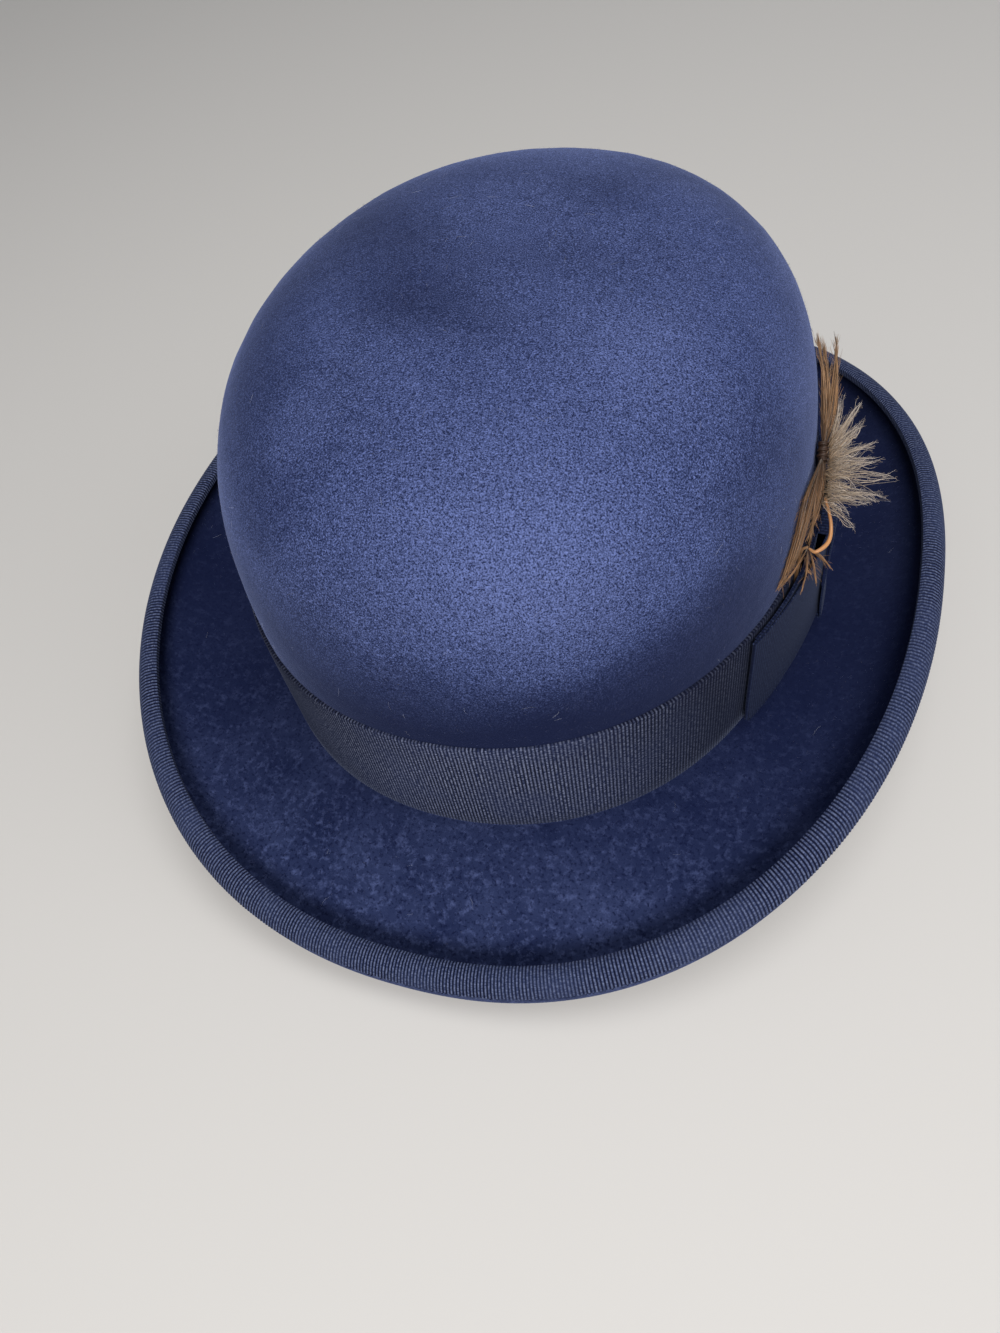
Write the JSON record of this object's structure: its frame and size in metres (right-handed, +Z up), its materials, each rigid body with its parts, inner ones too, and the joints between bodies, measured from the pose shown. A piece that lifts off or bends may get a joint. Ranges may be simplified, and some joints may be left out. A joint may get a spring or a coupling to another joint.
{
  "type": "bowler hat",
  "caption": "Bowler hat: hard round felt crown, curled bound brim, ribbon band with a flat side bow, feather sprig, leather sweatband and satin lining.",
  "frame": {"origin": "centre of the footprint, on the surface that the hat stands on", "axes": "+Z up out of the crown; the wearer's front is -Y; the wearer's left, with the bow and the feather, is +X"},
  "size_m": [0.2624, 0.3074, 0.1345],
  "materials": {
    "wool_felt": "short nap, matt",
    "band_ribbon": "ribbed grosgrain",
    "binding_ribbon": "ribbed grosgrain",
    "sweat_leather": "smooth, satin",
    "reed_plastic": "matt",
    "black_tape": "woven tape",
    "lining_satin": "satin",
    "paper_tab": "uncoated",
    "hackle_feather": "barbed strands",
    "plume_down": "loose down",
    "quill_horn": "satin horn",
    "tie_thread": "waxed thread"
  },
  "bodies": {
    "hat": {"felt_body": "wool_felt", "brim_binding": "binding_ribbon", "hat_band": "band_ribbon", "bow_under_layer": "band_ribbon", "bow_front_loop": "band_ribbon", "bow_back_loop": "band_ribbon", "bow_keeper": "band_ribbon", "sweatband": "sweat_leather", "sweatband_reed": "reed_plastic", "reed_tape": "black_tape", "sweatband_bow": "black_tape", "lining_tip": "lining_satin", "lining_side": "lining_satin", "size_tab": "paper_tab"},
    "feather": {"feather_wrap": "tie_thread", "feather_stem": "hackle_feather", "feather_quill": "quill_horn", "feather_plume": "plume_down", "hackle_back_1": "hackle_feather", "hackle_back_2": "hackle_feather", "hackle_back_3": "hackle_feather", "hackle_front_1": "hackle_feather", "hackle_front_2": "hackle_feather", "hackle_front_3": "hackle_feather"}
  },
  "joints": [
    {"name": "feather_pull", "type": "slide", "parent": "hat", "child": "feather", "axis": [0, 0, 1], "range_m": [0, 0.03]}
  ]
}
